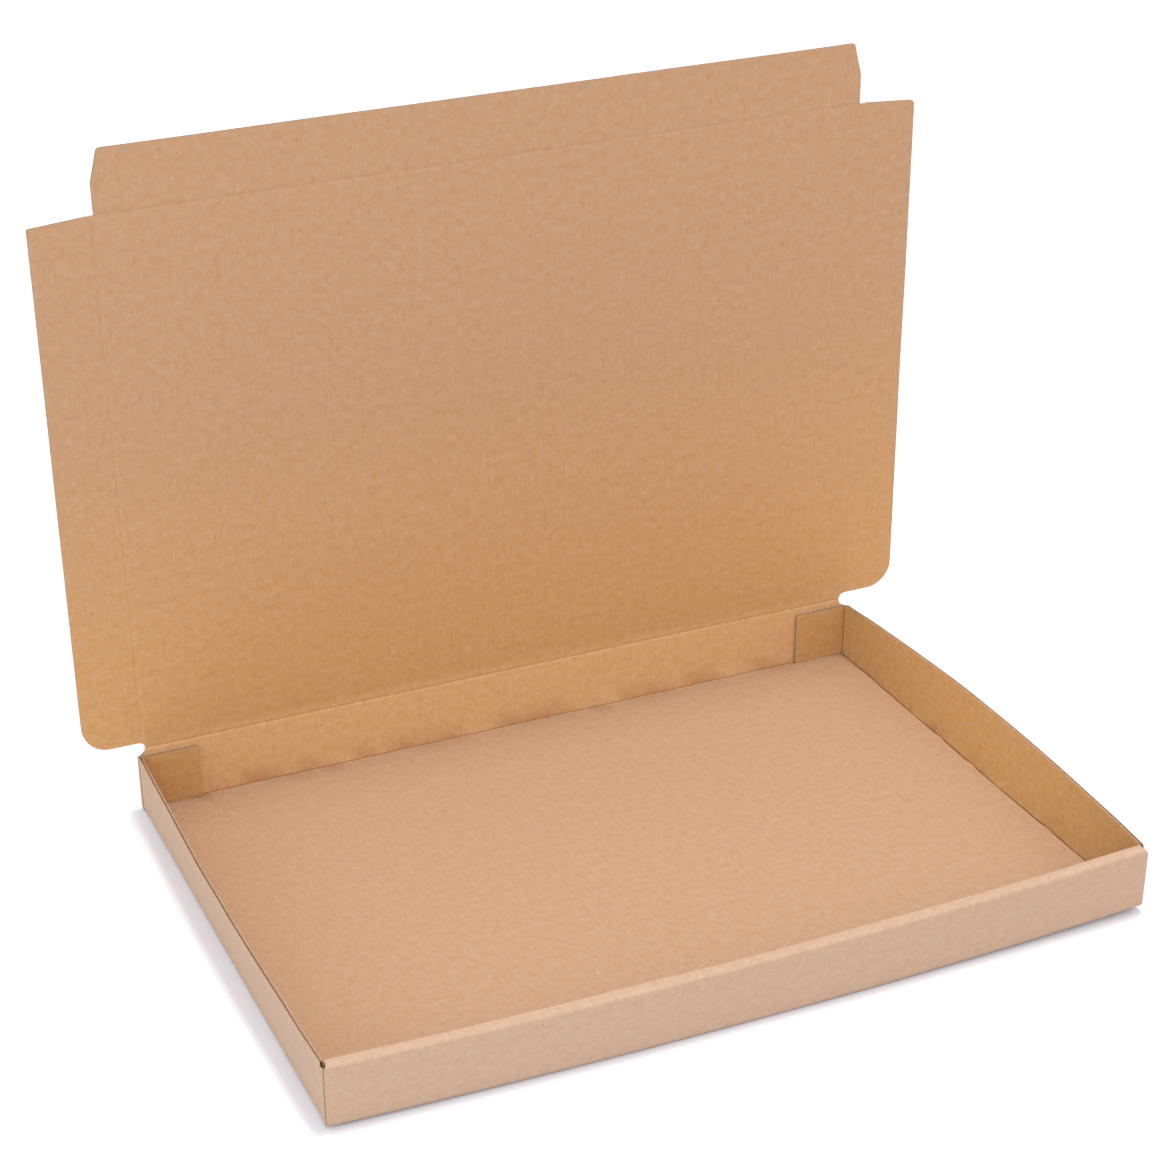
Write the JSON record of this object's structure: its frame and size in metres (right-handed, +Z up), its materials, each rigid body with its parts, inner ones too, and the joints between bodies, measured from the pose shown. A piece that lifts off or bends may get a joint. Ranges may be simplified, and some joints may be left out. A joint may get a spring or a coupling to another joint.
{
  "type": "die-cut mailer box",
  "caption": "Shallow folded mailer box in kraft corrugated board, with a hinged lid, side dust flaps and a tuck flap.",
  "frame": {"origin": "on the ground, under the middle of the box with its lid standing open", "axes": "+X along the box's width, +Y from the front wall to the wall that carries the lid, +Z up"},
  "size_m": [0.3968, 0.248, 0.2981],
  "materials": {
    "kraft_board": "matt brown kraft liner on single-wall corrugated board"
  },
  "bodies": {
    "tray": {"tray": "kraft_board"},
    "lid": {"lid": "kraft_board"},
    "left_dust_flap": {"left_dust_flap": "kraft_board"},
    "right_dust_flap": {"right_dust_flap": "kraft_board"},
    "tuck_flap": {"tuck_flap": "kraft_board"}
  },
  "joints": [
    {"name": "lid_crease", "type": "hinge", "parent": "tray", "child": "lid", "pos_m": [0, 0.12325, 0.0305], "axis": [1, 0, 0], "range_deg": [-90, 90]},
    {"name": "left_dust_flap_crease", "type": "hinge", "parent": "lid", "child": "left_dust_flap", "pos_m": [-0.17235, 0.12325, 0.1509], "axis": [0, 0, 1], "range_deg": [0, 90]},
    {"name": "right_dust_flap_crease", "type": "hinge", "parent": "lid", "child": "right_dust_flap", "pos_m": [0.17235, 0.12325, 0.1509], "axis": [0, 0, -1], "range_deg": [0, 90]},
    {"name": "tuck_flap_crease", "type": "hinge", "parent": "lid", "child": "tuck_flap", "pos_m": [0, 0.12325, 0.2713], "axis": [1, 0, 0], "range_deg": [0, 90]}
  ]
}
